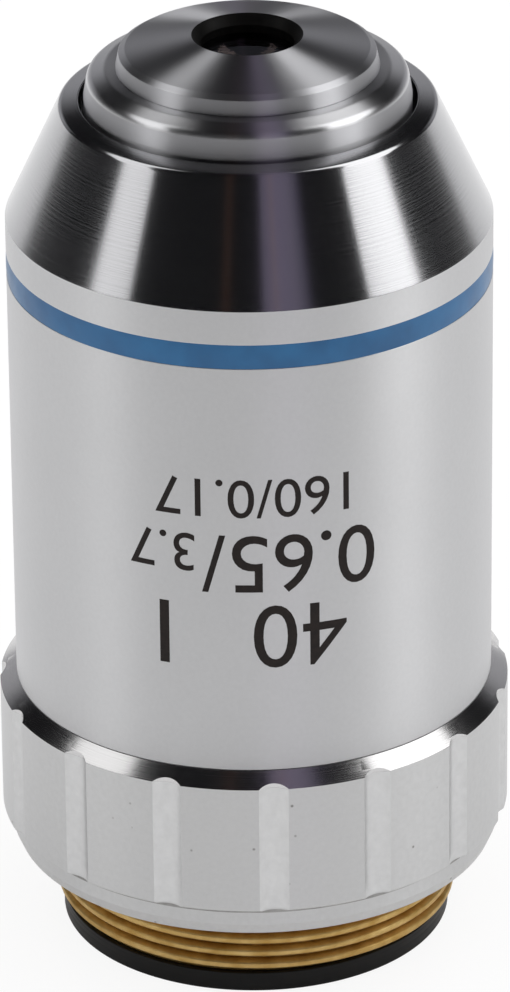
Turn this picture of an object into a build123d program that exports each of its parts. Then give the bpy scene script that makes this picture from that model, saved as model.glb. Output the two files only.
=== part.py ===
from build123d import *
import math
import os

# A screw-in microscope objective with a spring-loaded nose, standing on its rear ring.
# Frame: millimetres, origin on the optical axis at the seating shoulder, +Z towards the nose.
# Everything that is turned is a closed outline of (radius, height) corners, revolved about the axis.

# Plays between pieces
fit_gap = 0.02          # radial play of a cell in its bore, a lens in its cell, a thread in its mate
slide_gap = 0.04        # radial play of the sliding barrel in each of its two guides
nose_gap = 0.25         # open ring round the nose, where it passes through the sleeve
cement = 0.01           # cement layer between the two glasses of a doublet

# Mounting thread and grip ring, one turned and fluted piece
thread_radius = 10.135  # 0.8 inch objective thread, measured over its crests
thread_length = 3.60
thread_lead_in = 0.25   # chamfer where the thread starts
shoulder_radius = 12.12  # outer edge of the face that seats in the nosepiece
rim_radius = 12.38      # plain rim below the grip
rim_taper = 0.60        # height of the taper from the shoulder's edge to the rim
rim_height = 1.58
grip_radius = 12.85     # over the lands between the flutes
grip_height = 6.86
grip_chamfer = 0.63     # height of the polished chamfer above the grip
flute_count = 15
flute_width = 1.47      # across a flute, at the lands
flute_depth = 0.28
flute_turn = 4.1        # degrees from the front to the first flute, towards +X
spigot_height = 5.00    # thread that carries the outer sleeve
mount_bore = 8.70       # open bore behind the guide, tapped for the rear ring
mount_bore_depth = 4.50  # how far that bore runs above the shoulder

# Rear ring, black, screwed into the mount
rear_ring_radius = 9.84
rear_ring_flange = 1.05
rear_ring_neck = 2.40
rear_opening = 7.20
spanner_slot = 1.40     # width of the slots for a pin spanner
spanner_depth = 0.60
spanner_land = 1.10     # wall left outside each slot of the rear ring

# Outer sleeve: satin cylinder with a polished cone in front
sleeve_radius = 12.00
sleeve_straight = 24.79  # from the grip's top to the foot of the cone
cone_height = 5.89
cone_draw = 2.75        # how much the cone narrows the sleeve
brow_rise = 0.20        # the front face rises this much from the cone to the opening
brow_round = 0.30       # rounding between cone and front face
front_wall = 3.35       # length of the front opening, down to the stop inside
guide_overrun = 0.30    # guide left below the flange when the nose is pushed right in
guide_wall = 2.30       # sleeve wall round the barrel's flange
relief_wall = 1.60      # sleeve wall along the spring
spigot_wall = 1.00      # sleeve wall over the mount's spigot
thread_relief = 0.40    # run-out above the spigot's thread
band_drop = 1.75        # from the foot of the cone down to the coloured band
band_width = 1.26
band_depth = 0.12

# Sliding barrel that carries the lenses
travel = 2.00           # how far the nose can be pushed in
flange_thickness = 2.40  # front guide and stop
flange_step = 1.63      # stop face, from the flange in to the nose
barrel_step = 0.13      # from the nose's radius in to the barrel's
guide_step = 0.55       # from the barrel's radius out to the rear guide's
guide_engagement = 5.60  # length of the rear guide inside the mount
barrel_wall = 1.30      # round the bore that holds the cells
nose_straight = 0.18    # nose standing out of the sleeve before its taper starts
nose_taper_height = 1.10
nose_taper = 0.23       # how much the nose's radius falls over that taper
nose_slope_height = 0.36
barrel_tail = 1.80      # bore left open behind the lock ring

# Front cell with the tip of the nose
tip_step = 1.65         # from the nose's radius in to the tip's
tip_wall = 0.77
tip_chamfer = 0.35
tip_chamfer_height = 0.20
tip_slope_height = 0.67
aperture_depth = 0.88
aperture_flare = 0.39   # how much the aperture widens towards the tip
front_lip = 0.70        # how far the front cell reaches in over the front lens
neck_step = 0.88        # from the tip's radius in to the thread in the barrel
holder_wall = 2.48      # round the front lens
front_cell_wall = 1.10  # round the second cell's neck
neck_room = 0.40        # between the end of the front cell and the second cell's shoulder
neck_play = 0.10        # radial, between the front cell and the second cell's neck

# Glass: thickness at the edge or in the middle of each lens
front_lens_edge = 1.00
front_air = 0.30        # air between the front lens and the cell behind it
second_lens_edge = 1.20
third_flint_middle = 1.00
third_crown_edge = 0.70
fourth_crown_edge = 0.70
fourth_flint_middle = 1.00
rear_crown_middle = 1.20
rear_flint_middle = 1.30

# Glass: curvature radius of each surface, as a multiple of its lens's radius
front_lens_ratio = 1.40
second_front_ratio = 2.43
second_rear_ratio = 1.51
third_inner_ratio = 1.70
third_rear_ratio = 2.20
fourth_front_ratio = 2.40
fourth_inner_ratio = 1.80
rear_front_ratio = 2.38
rear_inner_ratio = 1.90
rear_outer_ratio = 2.86

# Cells, spacers and the ring that locks them
lip = 0.40              # lip that each lens seats against
lip_reach = 0.40        # how far the lip reaches in over the glass
vertex_room = 0.30      # air left between a curved glass and the end of its cell
second_cell_neck = 2.20  # how far the second cell stands up into the front cell
second_cell_wall = 0.58
second_cell_body = 1.10  # at least this long below its neck
cell_wall = 1.96       # round the third and fourth lenses
rear_cell_wall = 2.36
spacer_length = 1.60
spacer_wall = 1.00
stop_thickness = 0.40
stop_width = 3.08       # from the rim of the aperture stop in to its opening
lock_ring_height = 2.00
lock_ring_wall = 1.80
lock_slot = 1.20

# Return spring and guide screw
wire = 0.80
spring_turns = 5.5
spring_play = 0.10      # between the mouth of the rear guide and the spring's inside
screw_radius = 0.80
screw_drop = 2.90       # below the spigot's end
screw_sink = 0.15       # head below the spigot's thread
screw_slot = 0.30
point_radius = 0.60
point_reach = 0.70      # point standing into the barrel's slot
slot_floor_gap = 0.10
slot_side_gap = 0.05

# Heights worked out from the shoulder upwards
base_z = -thread_length - rear_ring_flange
grip_top = rim_height + grip_height
ring_top = grip_top + grip_chamfer
spigot_top = ring_top + spigot_height
cone_foot = ring_top + sleeve_straight
cone_top = cone_foot + cone_height
sleeve_front = cone_top + brow_rise
stop_z = sleeve_front - front_wall
flange_bottom = stop_z - flange_thickness
band_top = cone_foot - band_drop

# Radii worked out from the sleeve inwards
cone_top_radius = sleeve_radius - cone_draw
sleeve_thread = sleeve_radius - spigot_wall
spigot_radius = sleeve_thread - fit_gap
front_guide_bore = sleeve_radius - guide_wall
flange_radius = front_guide_bore - slide_gap
nose_radius = flange_radius - flange_step
sleeve_opening = nose_radius + nose_gap
barrel_radius = nose_radius - barrel_step
rear_guide_radius = barrel_radius + guide_step
rear_guide_bore = rear_guide_radius + slide_gap
spring_radius = rear_guide_bore + spring_play + wire / 2
stack_bore = barrel_radius - barrel_wall
cell_radius = stack_bore - fit_gap
tip_radius = nose_radius - tip_step
front_cell_neck = tip_radius - neck_step
neck_bore = front_cell_neck - front_cell_wall

# Radii of the glass, and of the openings that it looks through
front_lens_radius = front_cell_neck - holder_wall - fit_gap
clear_radius = front_lens_radius - front_lip
aperture_radius = clear_radius + aperture_flare
second_lens_radius = neck_bore - neck_play - second_cell_wall - fit_gap
third_lens_radius = cell_radius - cell_wall - fit_gap
fourth_lens_radius = third_lens_radius
rear_lens_radius = cell_radius - rear_cell_wall - fit_gap
stop_opening = cell_radius - stop_width

# Curvature radii of the glass
front_lens_curve = front_lens_ratio * front_lens_radius
second_front_curve = second_front_ratio * second_lens_radius
second_rear_curve = second_rear_ratio * second_lens_radius
third_inner_curve = third_inner_ratio * third_lens_radius
third_rear_curve = third_rear_ratio * third_lens_radius
fourth_front_curve = fourth_front_ratio * fourth_lens_radius
fourth_inner_curve = fourth_inner_ratio * fourth_lens_radius
rear_front_curve = rear_front_ratio * rear_lens_radius
rear_inner_curve = rear_inner_ratio * rear_lens_radius
rear_outer_curve = rear_outer_ratio * rear_lens_radius

# Nose, worked out from the sleeve's front upwards
nose_foot = sleeve_front + nose_straight
nose_edge = nose_foot + nose_taper_height
nose_top = nose_edge + nose_slope_height
tip_edge = nose_top + tip_wall
tip_shoulder = tip_edge + tip_chamfer_height
tip_z = tip_shoulder + tip_slope_height


def sag(curve, at):
    """Depth of a spherical surface of radius curve, out to the distance at from the axis."""
    return curve - math.sqrt(curve**2 - at**2)


# Lens stack, worked out from the front lens downwards
front_seat = tip_z - aperture_depth
front_vertex_rear = front_seat - front_lens_edge - sag(front_lens_curve, front_lens_radius)
second_top = front_vertex_rear - front_air
second_rim = second_top - lip
second_clear = second_lens_radius - lip_reach
second_rear_edge = second_rim - second_lens_edge
second_vertex_rear = second_rear_edge - sag(second_rear_curve, second_lens_radius)
stack_top = second_top - second_cell_neck
second_bottom = min(second_vertex_rear - vertex_room, stack_top - second_cell_body)

third_face = second_bottom - lip
third_inner_vertex = third_face - third_flint_middle
third_inner_edge = third_inner_vertex - sag(third_inner_curve, third_lens_radius)
third_rear_vertex = third_inner_edge - third_crown_edge - sag(third_rear_curve, third_lens_radius)
third_bottom = third_rear_vertex - vertex_room

stop_top = third_bottom - spacer_length
fourth_top = stop_top - stop_thickness
fourth_front_vertex = fourth_top - vertex_room
fourth_front_edge = fourth_front_vertex - sag(fourth_front_curve, fourth_lens_radius)
fourth_inner_edge = fourth_front_edge - fourth_crown_edge
fourth_inner_vertex = fourth_inner_edge - sag(fourth_inner_curve, fourth_lens_radius)
fourth_face = fourth_inner_vertex - fourth_flint_middle
fourth_bottom = fourth_face - lip

# Rear group, worked out from the barrel's rear end upwards
barrel_rear = spigot_top - guide_engagement
lock_ring_bottom = barrel_rear + barrel_tail
rear_bottom = lock_ring_bottom + lock_ring_height
rear_outer_vertex = rear_bottom + vertex_room
rear_inner_vertex = rear_outer_vertex + rear_flint_middle
rear_front_vertex = rear_inner_vertex + rear_crown_middle
rear_clear = rear_lens_radius - lip_reach
rear_rim = rear_front_vertex + sag(rear_front_curve, rear_clear)
rear_top = rear_rim + lip


def turned(*corners):
    """A turned piece: the closed outline of (radius, height) corners, revolved about the axis."""
    outline = Polyline(*[(radius, 0, height) for radius, height in corners], close=True)
    return revolve(make_face(outline), Axis.Z)


def ring(inner, outer, bottom, top):
    """A plain ring or tube."""
    return turned((inner, bottom), (outer, bottom), (outer, top), (inner, top))


def surface_height(vertex, curve, at):
    """Height of a lens surface at a distance from the axis; a positive curve is a dome, a negative a dish."""
    if curve is None:
        return vertex
    return vertex - math.copysign(sag(abs(curve), at), curve)


def surface_edge(vertex, curve, reach):
    """Half of a lens surface's section, from the axis out to reach."""
    rim = (reach, 0, surface_height(vertex, curve, reach))
    if curve is None:
        return Line((0, 0, vertex), rim)
    middle = (reach / 2, 0, surface_height(vertex, curve, reach / 2))
    return ThreePointArc((0, 0, vertex), middle, rim)


def lens(radius, front, rear, front_reach=None):
    """A lens of that radius between two (vertex, curve) surfaces. A dish in front may stop short at
    front_reach, which leaves the flat edge that it seats on."""
    front_reach = front_reach or radius
    upper = surface_edge(*front, front_reach)
    lower = surface_edge(*rear, radius)
    top_edge = surface_height(*front, front_reach)
    bottom_edge = surface_height(*rear, radius)
    sides = [Line((radius, 0, bottom_edge), (radius, 0, top_edge))]
    if front_reach < radius:
        sides.append(Line((radius, 0, top_edge), (front_reach, 0, top_edge)))
    axis_line = Line((0, 0, rear[0]), (0, 0, front[0]))
    return revolve(make_face([upper, lower, axis_line] + sides), Axis.Z)


def doublet(radius, front, inner, rear, front_reach=None):
    """Two glasses cemented together at the inner surface."""
    vertex, curve = inner
    front_glass = lens(radius, front, (vertex + cement / 2, curve), front_reach)
    rear_glass = lens(radius, (vertex - cement / 2, curve), rear)
    return front_glass, rear_glass


def cell(top, bottom, lens_radius, lip_on_top):
    """A short tube with a bore for the lens and a lip at one end that the glass seats against."""
    bore = lens_radius + fit_gap
    mouth = lens_radius - lip_reach
    if lip_on_top:
        return turned((mouth, top), (mouth, top - lip), (bore, top - lip), (bore, bottom),
                      (cell_radius, bottom), (cell_radius, top))
    return turned((bore, top), (bore, bottom + lip), (mouth, bottom + lip), (mouth, bottom),
                  (cell_radius, bottom), (cell_radius, top))


def flute_cutter():
    """One round-bottomed flute, as wide and deep as its sizes say, that ends at the rim below the grip."""
    bow = grip_radius - math.sqrt(grip_radius**2 - (flute_width / 2) ** 2)
    deep = flute_depth - bow
    cutter_radius = ((flute_width / 2) ** 2 + deep**2) / (2 * deep)
    length = ring_top - rim_height
    cutter = Cylinder(cutter_radius, length, align=(Align.CENTER, Align.CENTER, Align.MIN))
    return Pos(0, -(grip_radius - flute_depth + cutter_radius), rim_height) * cutter


def mount_ring():
    """Grip ring, mounting thread and the spigot that carries the sleeve."""
    body = turned(
        (mount_bore, -thread_length),
        (thread_radius - thread_lead_in, -thread_length),
        (thread_radius, -thread_length + thread_lead_in),
        (thread_radius, 0),
        (shoulder_radius, 0),
        (rim_radius, rim_taper),
        (rim_radius, rim_height),
        (grip_radius, rim_height),
        (grip_radius, grip_top),
        (sleeve_radius, ring_top),
        (spigot_radius, ring_top),
        (spigot_radius, spigot_top),
        (rear_guide_bore, spigot_top),
        (rear_guide_bore, mount_bore_depth),
        (mount_bore, mount_bore_depth),
    )
    cutter = flute_cutter()
    flutes = [Rot(0, 0, flute_turn + 360 / flute_count * n) * cutter for n in range(flute_count)]
    return body - flutes - radial_pin(screw_radius, 0, sleeve_radius)


def radial_pin(radius, start, end):
    """A pin at the back of the object, at the guide screw's height, between two distances from the axis."""
    pin = Cylinder(radius, end - start, align=(Align.CENTER, Align.CENTER, Align.MIN))
    return Pos(0, start, spigot_top - screw_drop) * Rot(-90, 0, 0) * pin


def rear_ring():
    """Black ring that closes the mount's rear end, with two slots for a pin spanner."""
    neck = mount_bore - fit_gap
    body = turned(
        (rear_opening, base_z),
        (rear_ring_radius, base_z),
        (rear_ring_radius, -thread_length),
        (neck, -thread_length),
        (neck, -thread_length + rear_ring_neck),
        (rear_opening, -thread_length + rear_ring_neck),
    )
    reach = rear_ring_radius - spanner_land
    slots = Box(2 * reach, spanner_slot, spanner_depth, align=(Align.CENTER, Align.CENTER, Align.MIN))
    return body - Pos(0, 0, base_z) * slots


def outer_sleeve():
    """Sleeve with its cone, the opening for the nose, the stop and guide inside, and the band's groove."""
    relief_bore = sleeve_radius - relief_wall
    guide_start = flange_bottom - travel - guide_overrun
    body = turned(
        (sleeve_thread, ring_top),
        (sleeve_radius, ring_top),
        (sleeve_radius, cone_foot),
        (cone_top_radius, cone_top),
        (sleeve_opening, sleeve_front),
        (sleeve_opening, stop_z),
        (front_guide_bore, stop_z),
        (front_guide_bore, guide_start),
        (relief_bore, guide_start),
        (relief_bore, spigot_top + thread_relief),
        (sleeve_thread, spigot_top + thread_relief),
    )
    brow = body.edges().filter_by(GeomType.CIRCLE).filter_by(
        lambda edge: abs(edge.radius - cone_top_radius) < 1e-3
    )
    body = fillet(brow, brow_round)
    return body - ring(sleeve_radius - band_depth, sleeve_radius + band_depth, band_top - band_width, band_top)


def colour_band():
    """Lacquer that fills the groove round the sleeve."""
    return ring(sleeve_radius - band_depth, sleeve_radius, band_top - band_width, band_top)


def guide_screw():
    """Screw with a plain point that keeps the barrel from turning."""
    head = spigot_radius - screw_sink
    point_end = rear_guide_radius - point_reach
    thread = radial_pin(screw_radius - fit_gap, rear_guide_bore, head)
    point = radial_pin(point_radius, point_end, rear_guide_bore)
    slot = Box(2 * screw_radius, 2 * screw_slot, screw_slot)
    return thread + point - Pos(0, head, spigot_top - screw_drop) * slot


def return_spring():
    """Compression spring with ground ends, between the mount's spigot and the barrel's flange."""
    length = flange_bottom - spigot_top
    path = Helix(pitch=length / spring_turns, height=length, radius=spring_radius)
    section = Plane(origin=path @ 0, z_dir=path % 0) * Circle(wire / 2)
    coil = Pos(0, 0, spigot_top) * sweep(section, path=path, is_frenet=True)
    return coil & ring(spring_radius - wire, spring_radius + wire, spigot_top, flange_bottom)


def lens_barrel():
    """Sliding tube that holds the cells: nose in front, flange as guide and stop, slot for the guide screw."""
    head_bore = front_cell_neck + fit_gap
    tube = turned(
        (stack_bore, barrel_rear),
        (rear_guide_radius, barrel_rear),
        (rear_guide_radius, spigot_top - slide_gap),
        (barrel_radius, spigot_top - slide_gap),
        (barrel_radius, flange_bottom),
        (flange_radius, flange_bottom),
        (flange_radius, stop_z),
        (nose_radius, stop_z),
        (nose_radius, nose_foot),
        (nose_radius - nose_taper, nose_edge),
        (tip_radius, nose_top),
        (head_bore, nose_top),
        (head_bore, stack_top),
        (stack_bore, stack_top),
    )
    half = point_radius + slot_side_gap
    floor = rear_guide_radius - point_reach - slot_floor_gap
    slot_bottom = spigot_top - screw_drop - half
    slot = Box(2 * half, rear_guide_radius, travel + 2 * half, align=(Align.CENTER, Align.MIN, Align.MIN))
    return tube - Pos(0, floor, slot_bottom) * slot


def front_cell():
    """Tip of the nose: aperture, seat of the front lens, and the neck that screws into the barrel."""
    lens_bore = front_lens_radius + fit_gap
    holder_bottom = front_seat - front_lens_edge
    neck_end = stack_top + neck_room
    return turned(
        (aperture_radius, tip_z),
        (clear_radius, front_seat + lip),
        (clear_radius, front_seat),
        (lens_bore, front_seat),
        (lens_bore, holder_bottom),
        (neck_bore, holder_bottom),
        (neck_bore, neck_end),
        (front_cell_neck, neck_end),
        (front_cell_neck, nose_top),
        (tip_radius, nose_top),
        (tip_radius, tip_edge),
        (tip_radius - tip_chamfer, tip_shoulder),
    )


def second_cell():
    """Cell whose neck stands up into the front cell, so that its lens comes close to the front one."""
    bore = second_lens_radius + fit_gap
    neck = bore + second_cell_wall
    return turned(
        (second_clear, second_top),
        (second_clear, second_rim),
        (bore, second_rim),
        (bore, second_bottom),
        (cell_radius, second_bottom),
        (cell_radius, stack_top),
        (neck, stack_top),
        (neck, second_top),
    )


def lock_ring():
    """Threaded ring that locks the stack of cells, slotted across its rear face."""
    body = ring(cell_radius - lock_ring_wall, cell_radius, lock_ring_bottom, rear_bottom)
    slot = Box(3 * cell_radius, lock_slot, lock_slot)
    return body - Pos(0, 0, lock_ring_bottom) * slot


def build():
    """Every piece of the objective by name."""
    third = doublet(third_lens_radius, (third_face, None), (third_inner_vertex, third_inner_curve),
                    (third_rear_vertex, -third_rear_curve))
    fourth = doublet(fourth_lens_radius, (fourth_front_vertex, fourth_front_curve),
                     (fourth_inner_vertex, -fourth_inner_curve), (fourth_face, None))
    rear = doublet(rear_lens_radius, (rear_front_vertex, -rear_front_curve),
                   (rear_inner_vertex, -rear_inner_curve), (rear_outer_vertex, -rear_outer_curve), rear_clear)
    return {
        "mount_ring": mount_ring(),
        "rear_ring": rear_ring(),
        "outer_sleeve": outer_sleeve(),
        "colour_band": colour_band(),
        "guide_screw": guide_screw(),
        "return_spring": return_spring(),
        "lens_barrel": lens_barrel(),
        "front_cell": front_cell(),
        "front_lens": lens(front_lens_radius, (front_seat, None), (front_vertex_rear, -front_lens_curve)),
        "second_cell": second_cell(),
        "second_lens": lens(
            second_lens_radius,
            (second_rim - sag(second_front_curve, second_clear), -second_front_curve),
            (second_vertex_rear, -second_rear_curve),
            second_clear,
        ),
        "third_cell": cell(second_bottom, third_bottom, third_lens_radius, lip_on_top=True),
        "third_flint": third[0],
        "third_crown": third[1],
        "spacer": ring(cell_radius - spacer_wall, cell_radius, stop_top, third_bottom),
        "aperture_stop": ring(stop_opening, cell_radius, fourth_top, stop_top),
        "fourth_cell": cell(fourth_top, fourth_bottom, fourth_lens_radius, lip_on_top=False),
        "fourth_crown": fourth[0],
        "fourth_flint": fourth[1],
        "long_spacer": ring(cell_radius - spacer_wall, cell_radius, rear_top, fourth_bottom),
        "rear_cell": cell(rear_top, rear_bottom, rear_lens_radius, lip_on_top=True),
        "rear_crown": rear[0],
        "rear_flint": rear[1],
        "lock_ring": lock_ring(),
    }


os.makedirs("parts", exist_ok=True)
for name, piece in build().items():
    export_step(piece, f"parts/{name}.step")
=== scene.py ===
import math

import bmesh
import bpy
from mathutils import Matrix, Vector


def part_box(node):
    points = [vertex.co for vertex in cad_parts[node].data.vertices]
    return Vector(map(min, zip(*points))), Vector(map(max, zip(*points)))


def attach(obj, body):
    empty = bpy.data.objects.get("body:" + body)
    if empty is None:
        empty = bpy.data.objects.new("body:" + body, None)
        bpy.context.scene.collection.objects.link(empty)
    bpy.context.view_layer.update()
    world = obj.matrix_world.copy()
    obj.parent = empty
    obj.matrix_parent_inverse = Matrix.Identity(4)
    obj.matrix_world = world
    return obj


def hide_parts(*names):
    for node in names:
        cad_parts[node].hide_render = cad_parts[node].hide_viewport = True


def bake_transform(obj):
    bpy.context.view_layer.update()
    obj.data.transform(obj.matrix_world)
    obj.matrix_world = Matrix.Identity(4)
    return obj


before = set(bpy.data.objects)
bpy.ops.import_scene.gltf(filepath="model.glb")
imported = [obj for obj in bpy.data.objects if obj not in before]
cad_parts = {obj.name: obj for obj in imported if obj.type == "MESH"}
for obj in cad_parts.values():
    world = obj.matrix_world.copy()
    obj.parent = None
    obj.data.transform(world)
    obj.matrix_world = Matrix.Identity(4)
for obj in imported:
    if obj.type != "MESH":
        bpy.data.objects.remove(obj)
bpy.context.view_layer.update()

# Mount ring. One turned piece of brass: the mounting thread at the bottom is left bare, the rim and the
# grip with its milled flutes are satin nickel-plated, and the chamfer above them is polished. Its spigot
# carries the sleeve. Sizes in this script are in mm, and the scene is in metres.
MM = 0.001


def paint(code):
    """An sRGB hex colour as the linear colour that the shaders want."""
    parts = [int(code[n:n + 2], 16) / 255 for n in (1, 3, 5)]
    return [p / 12.92 if p <= 0.04045 else ((p + 0.055) / 1.055) ** 2.4 for p in parts] + [1.0]


def node(tree, kind, inputs=None, **settings):
    """Adds a node with its settings. An input takes a number, a colour, a socket or a node, which gives its
    first output."""
    made = tree.nodes.new(kind)
    for name, value in settings.items():
        setattr(made, name, value)
    for socket, value in (inputs or {}).items():
        if isinstance(value, bpy.types.Node):
            value = value.outputs[0]
        if isinstance(value, bpy.types.NodeSocket):
            tree.links.new(value, made.inputs[socket])
        else:
            made.inputs[socket].default_value = value
    return made


def finish(name, **values):
    """A material with a Principled shader. The values are its own sockets, spaces as underscores."""
    made = bpy.data.materials.new(name)
    made.use_nodes = True
    tree = made.node_tree
    tree.nodes.clear()
    sockets = {socket.replace("_", " "): value for socket, value in values.items()}
    shader = node(tree, "ShaderNodeBsdfPrincipled", sockets)
    node(tree, "ShaderNodeOutputMaterial", {"Surface": shader})
    return made, tree, shader


def grain(tree, size, detail=3.0):
    """Blasting, tarnish or wear as noise of that grain size in mm, on the piece's own coordinates."""
    place = node(tree, "ShaderNodeTexCoord").outputs["Object"]
    return node(tree, "ShaderNodeTexNoise", {"Vector": place, "Scale": 1 / (size * MM), "Detail": detail})


def lathe_lines(tree, pitch):
    """Rings round the axis as a turning tool leaves them, about one pitch in mm apart."""
    place = node(tree, "ShaderNodeTexCoord").outputs["Object"]
    x, y, z = node(tree, "ShaderNodeSeparateXYZ", {0: place}).outputs
    squares = {n: node(tree, "ShaderNodeMath", {0: side, 1: side}, operation="MULTIPLY")
               for n, side in enumerate((x, y))}
    radius = node(tree, "ShaderNodeMath", {0: node(tree, "ShaderNodeMath", squares, operation="ADD")},
                  operation="SQRT")
    along = node(tree, "ShaderNodeMath", {0: radius, 1: z}, operation="SUBTRACT")
    sockets = {"W": along, "Scale": 1 / (pitch * MM), "Detail": 2.0}
    return node(tree, "ShaderNodeTexNoise", sockets, noise_dimensions="1D")


# Noise keeps mostly between these values.
NOISE_LOW, NOISE_HIGH = 0.3, 0.7


def tinted(tree, shader, pattern, dark, light):
    """Lets a pattern tint the finish between two hex colours, and gives the colour's socket."""
    share = node(tree, "ShaderNodeMapRange", {
        "Value": pattern, "From Min": NOISE_LOW, "From Max": NOISE_HIGH})
    colour = node(tree, "ShaderNodeMix", {"Factor": share, 6: paint(dark), 7: paint(light)},
                  data_type="RGBA").outputs[2]
    tree.links.new(colour, shader.inputs["Base Color"])
    return colour


def dulled(tree, shader, pattern, start, end):
    """Lets a pattern vary the finish's roughness from start to end."""
    rough = node(tree, "ShaderNodeMapRange", {
        "Value": pattern, "From Min": NOISE_LOW, "From Max": NOISE_HIGH, "To Min": start, "To Max": end})
    tree.links.new(rough.outputs[0], shader.inputs["Roughness"])


def embossed(tree, shader, pattern, depth, strength=1.0):
    """Lets a pattern stand out of the surface, where its full height stands for that depth in mm."""
    bump = node(tree, "ShaderNodeBump", {"Height": pattern, "Distance": depth * MM, "Strength": strength})
    tree.links.new(bump.outputs[0], shader.inputs["Normal"])


def along_grooves(tree, shader):
    """Stretches reflections across turning grooves that run round the axis."""
    quarter_turn = 0.25
    tangent = node(tree, "ShaderNodeTangent", direction_type="RADIAL", axis="Z")
    tree.links.new(tangent.outputs[0], shader.inputs["Tangent"])
    shader.inputs["Anisotropic Rotation"].default_value = quarter_turn


def rounded(corners, steps=4, support=0.03):
    """A closed outline with rounded corners. A corner is (radius, height, rounding, finish), where finish
    numbers the material of the face that runs on from it. It gives points of (radius, height, finish), with
    one more beyond each end of a rounding, to hold the flat faces flat."""
    points = []
    for before, here, after in zip(corners[-1:] + corners[:-1], corners, corners[1:] + corners[:1]):
        corner, rounding = Vector(here[:2]), here[2]
        back = (Vector(before[:2]) - corner).normalized()
        ahead = (Vector(after[:2]) - corner).normalized()
        if not rounding:
            points.append((corner.x, corner.y, here[3]))
            continue
        half = back.angle(ahead) / 2
        reach = rounding / math.tan(half)
        middle = corner + (back + ahead).normalized() * rounding / math.sin(half)
        start, end = corner + back * reach - middle, corner + ahead * reach - middle
        turn = start.angle(end)
        approach, leave = middle + start + back * support, middle + end + ahead * support
        points.append((approach.x, approach.y, before[3]))
        for step in range(steps + 1):
            part = step / steps
            arm = start * math.sin((1 - part) * turn) + end * math.sin(part * turn)
            spot = middle + arm / math.sin(turn)
            points.append((spot.x, spot.y, here[3]))
        points.append((leave.x, leave.y, here[3]))
    return points


def as_object(name, mesh, materials=(), sharp=30):
    """Puts a bmesh into the scene as one closed, outward piece, sharp at edges over that many degrees."""
    merge_distance = 0.0005
    bmesh.ops.remove_doubles(mesh, verts=mesh.verts, dist=merge_distance * MM)
    bmesh.ops.recalc_face_normals(mesh, faces=mesh.faces)
    data = bpy.data.meshes.new(name)
    mesh.to_mesh(data)
    mesh.free()
    for material in materials:
        data.materials.append(material)
    data.shade_smooth()
    data.set_sharp_from_angle(angle=math.radians(sharp))
    made = bpy.data.objects.new(name, data)
    bpy.context.scene.collection.objects.link(made)
    return made


def turned(name, points, materials, columns=320, place=None):
    """Turns an outline of (radius, height, finish) points about the axis. place, if given, says where a
    column's point lies, as (radius, angle)."""
    mesh = bmesh.new()
    rings = []
    for radius, height, _ in points:
        ring = []
        for column in range(columns):
            far, angle = place(radius, column) if place else (radius, math.tau * column / columns)
            x, y = far * math.sin(angle), -far * math.cos(angle)
            ring.append(mesh.verts.new((x * MM, y * MM, height * MM)))
        rings.append(ring)
    for lower, upper, (_, _, kind) in zip(rings, rings[1:] + rings[:1], points):
        for column in range(columns):
            after = (column + 1) % columns
            face = mesh.faces.new((lower[column], lower[after], upper[after], upper[column]))
            face.material_index = kind
    return as_object(name, mesh, materials)


def fit(piece, body, slot, *nodes):
    """Lets a piece ride on its body and hides the nodes that it stands for. The slot is not used."""
    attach(piece, body)
    if nodes:
        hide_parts(*nodes)


# Satin nickel plate: an even, milky grey with soft highlights, fine mottling and a few dark pits.
satin_nickel, tree, shader = finish("satin_nickel_plate", Metallic=1.0, Anisotropic=0.8)
pit_spacing, pit_core, pit_rim, pitless_share, pit_strength = 1.0, 0.03, 0.10, 0.62, 0.75
mottle = grain(tree, 0.30, detail=5.0)
cells = node(tree, "ShaderNodeTexVoronoi", {"Vector": node(tree, "ShaderNodeTexCoord").outputs["Object"],
                                            "Scale": 1 / (pit_spacing * MM)})
depth = node(tree, "ShaderNodeMapRange", {"Value": cells.outputs["Distance"], "From Min": pit_core,
                                          "From Max": pit_rim, "To Min": 1.0, "To Max": 0.0})
chance = node(tree, "ShaderNodeSeparateColor", {0: cells.outputs["Color"]})
chosen = node(tree, "ShaderNodeMath", {0: chance, 1: pitless_share}, operation="GREATER_THAN")
pits = node(tree, "ShaderNodeMath", {0: depth, 1: chosen}, operation="MULTIPLY")
plate = tinted(tree, shader, mottle, "#c8c8c8", "#cfcfcf")
darkening = node(tree, "ShaderNodeMath", {0: pits, 1: pit_strength}, operation="MULTIPLY")
pitted = node(tree, "ShaderNodeMix", {"Factor": darkening, 6: plate, 7: paint("#4d4740")}, data_type="RGBA")
tree.links.new(pitted.outputs[2], shader.inputs["Base Color"])
dulled(tree, shader, mottle, 0.36, 0.41)
blasted = node(tree, "ShaderNodeMath", {0: grain(tree, 0.10), 1: pits}, operation="SUBTRACT")
embossed(tree, shader, blasted, 0.005, strength=0.4)
along_grooves(tree, shader)

# Milled nickel: the floors of the flutes, smoother and brighter than the blasted lands between them.
milled_nickel, tree, shader = finish("milled_nickel_plate", Metallic=1.0, Anisotropic=0.5)
tinted(tree, shader, grain(tree, 0.4), "#c8c8c8", "#cfcfcf")
dulled(tree, shader, grain(tree, 0.25), 0.30, 0.34)
along_grooves(tree, shader)

# Painted shade: a darker, rougher nickel grey on the rim's top, for the shade under the grip's lower edge.
painted_shade_nickel, tree, shader = finish("painted_shade_nickel_plate", Metallic=1.0, Roughness=0.5)
tinted(tree, shader, grain(tree, 0.6), "#8e8d8b", "#a7a6a4")

# Polished nickel: nearly a mirror, its reflections drawn out across fine rings from the turning tool.
polished_nickel, tree, shader = finish("polished_nickel_plate", Metallic=1.0, Base_Color=paint("#c9c8c8"),
                                       Anisotropic=0.7)
dulled(tree, shader, lathe_lines(tree, 0.08), 0.14, 0.24)
along_grooves(tree, shader)

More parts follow.
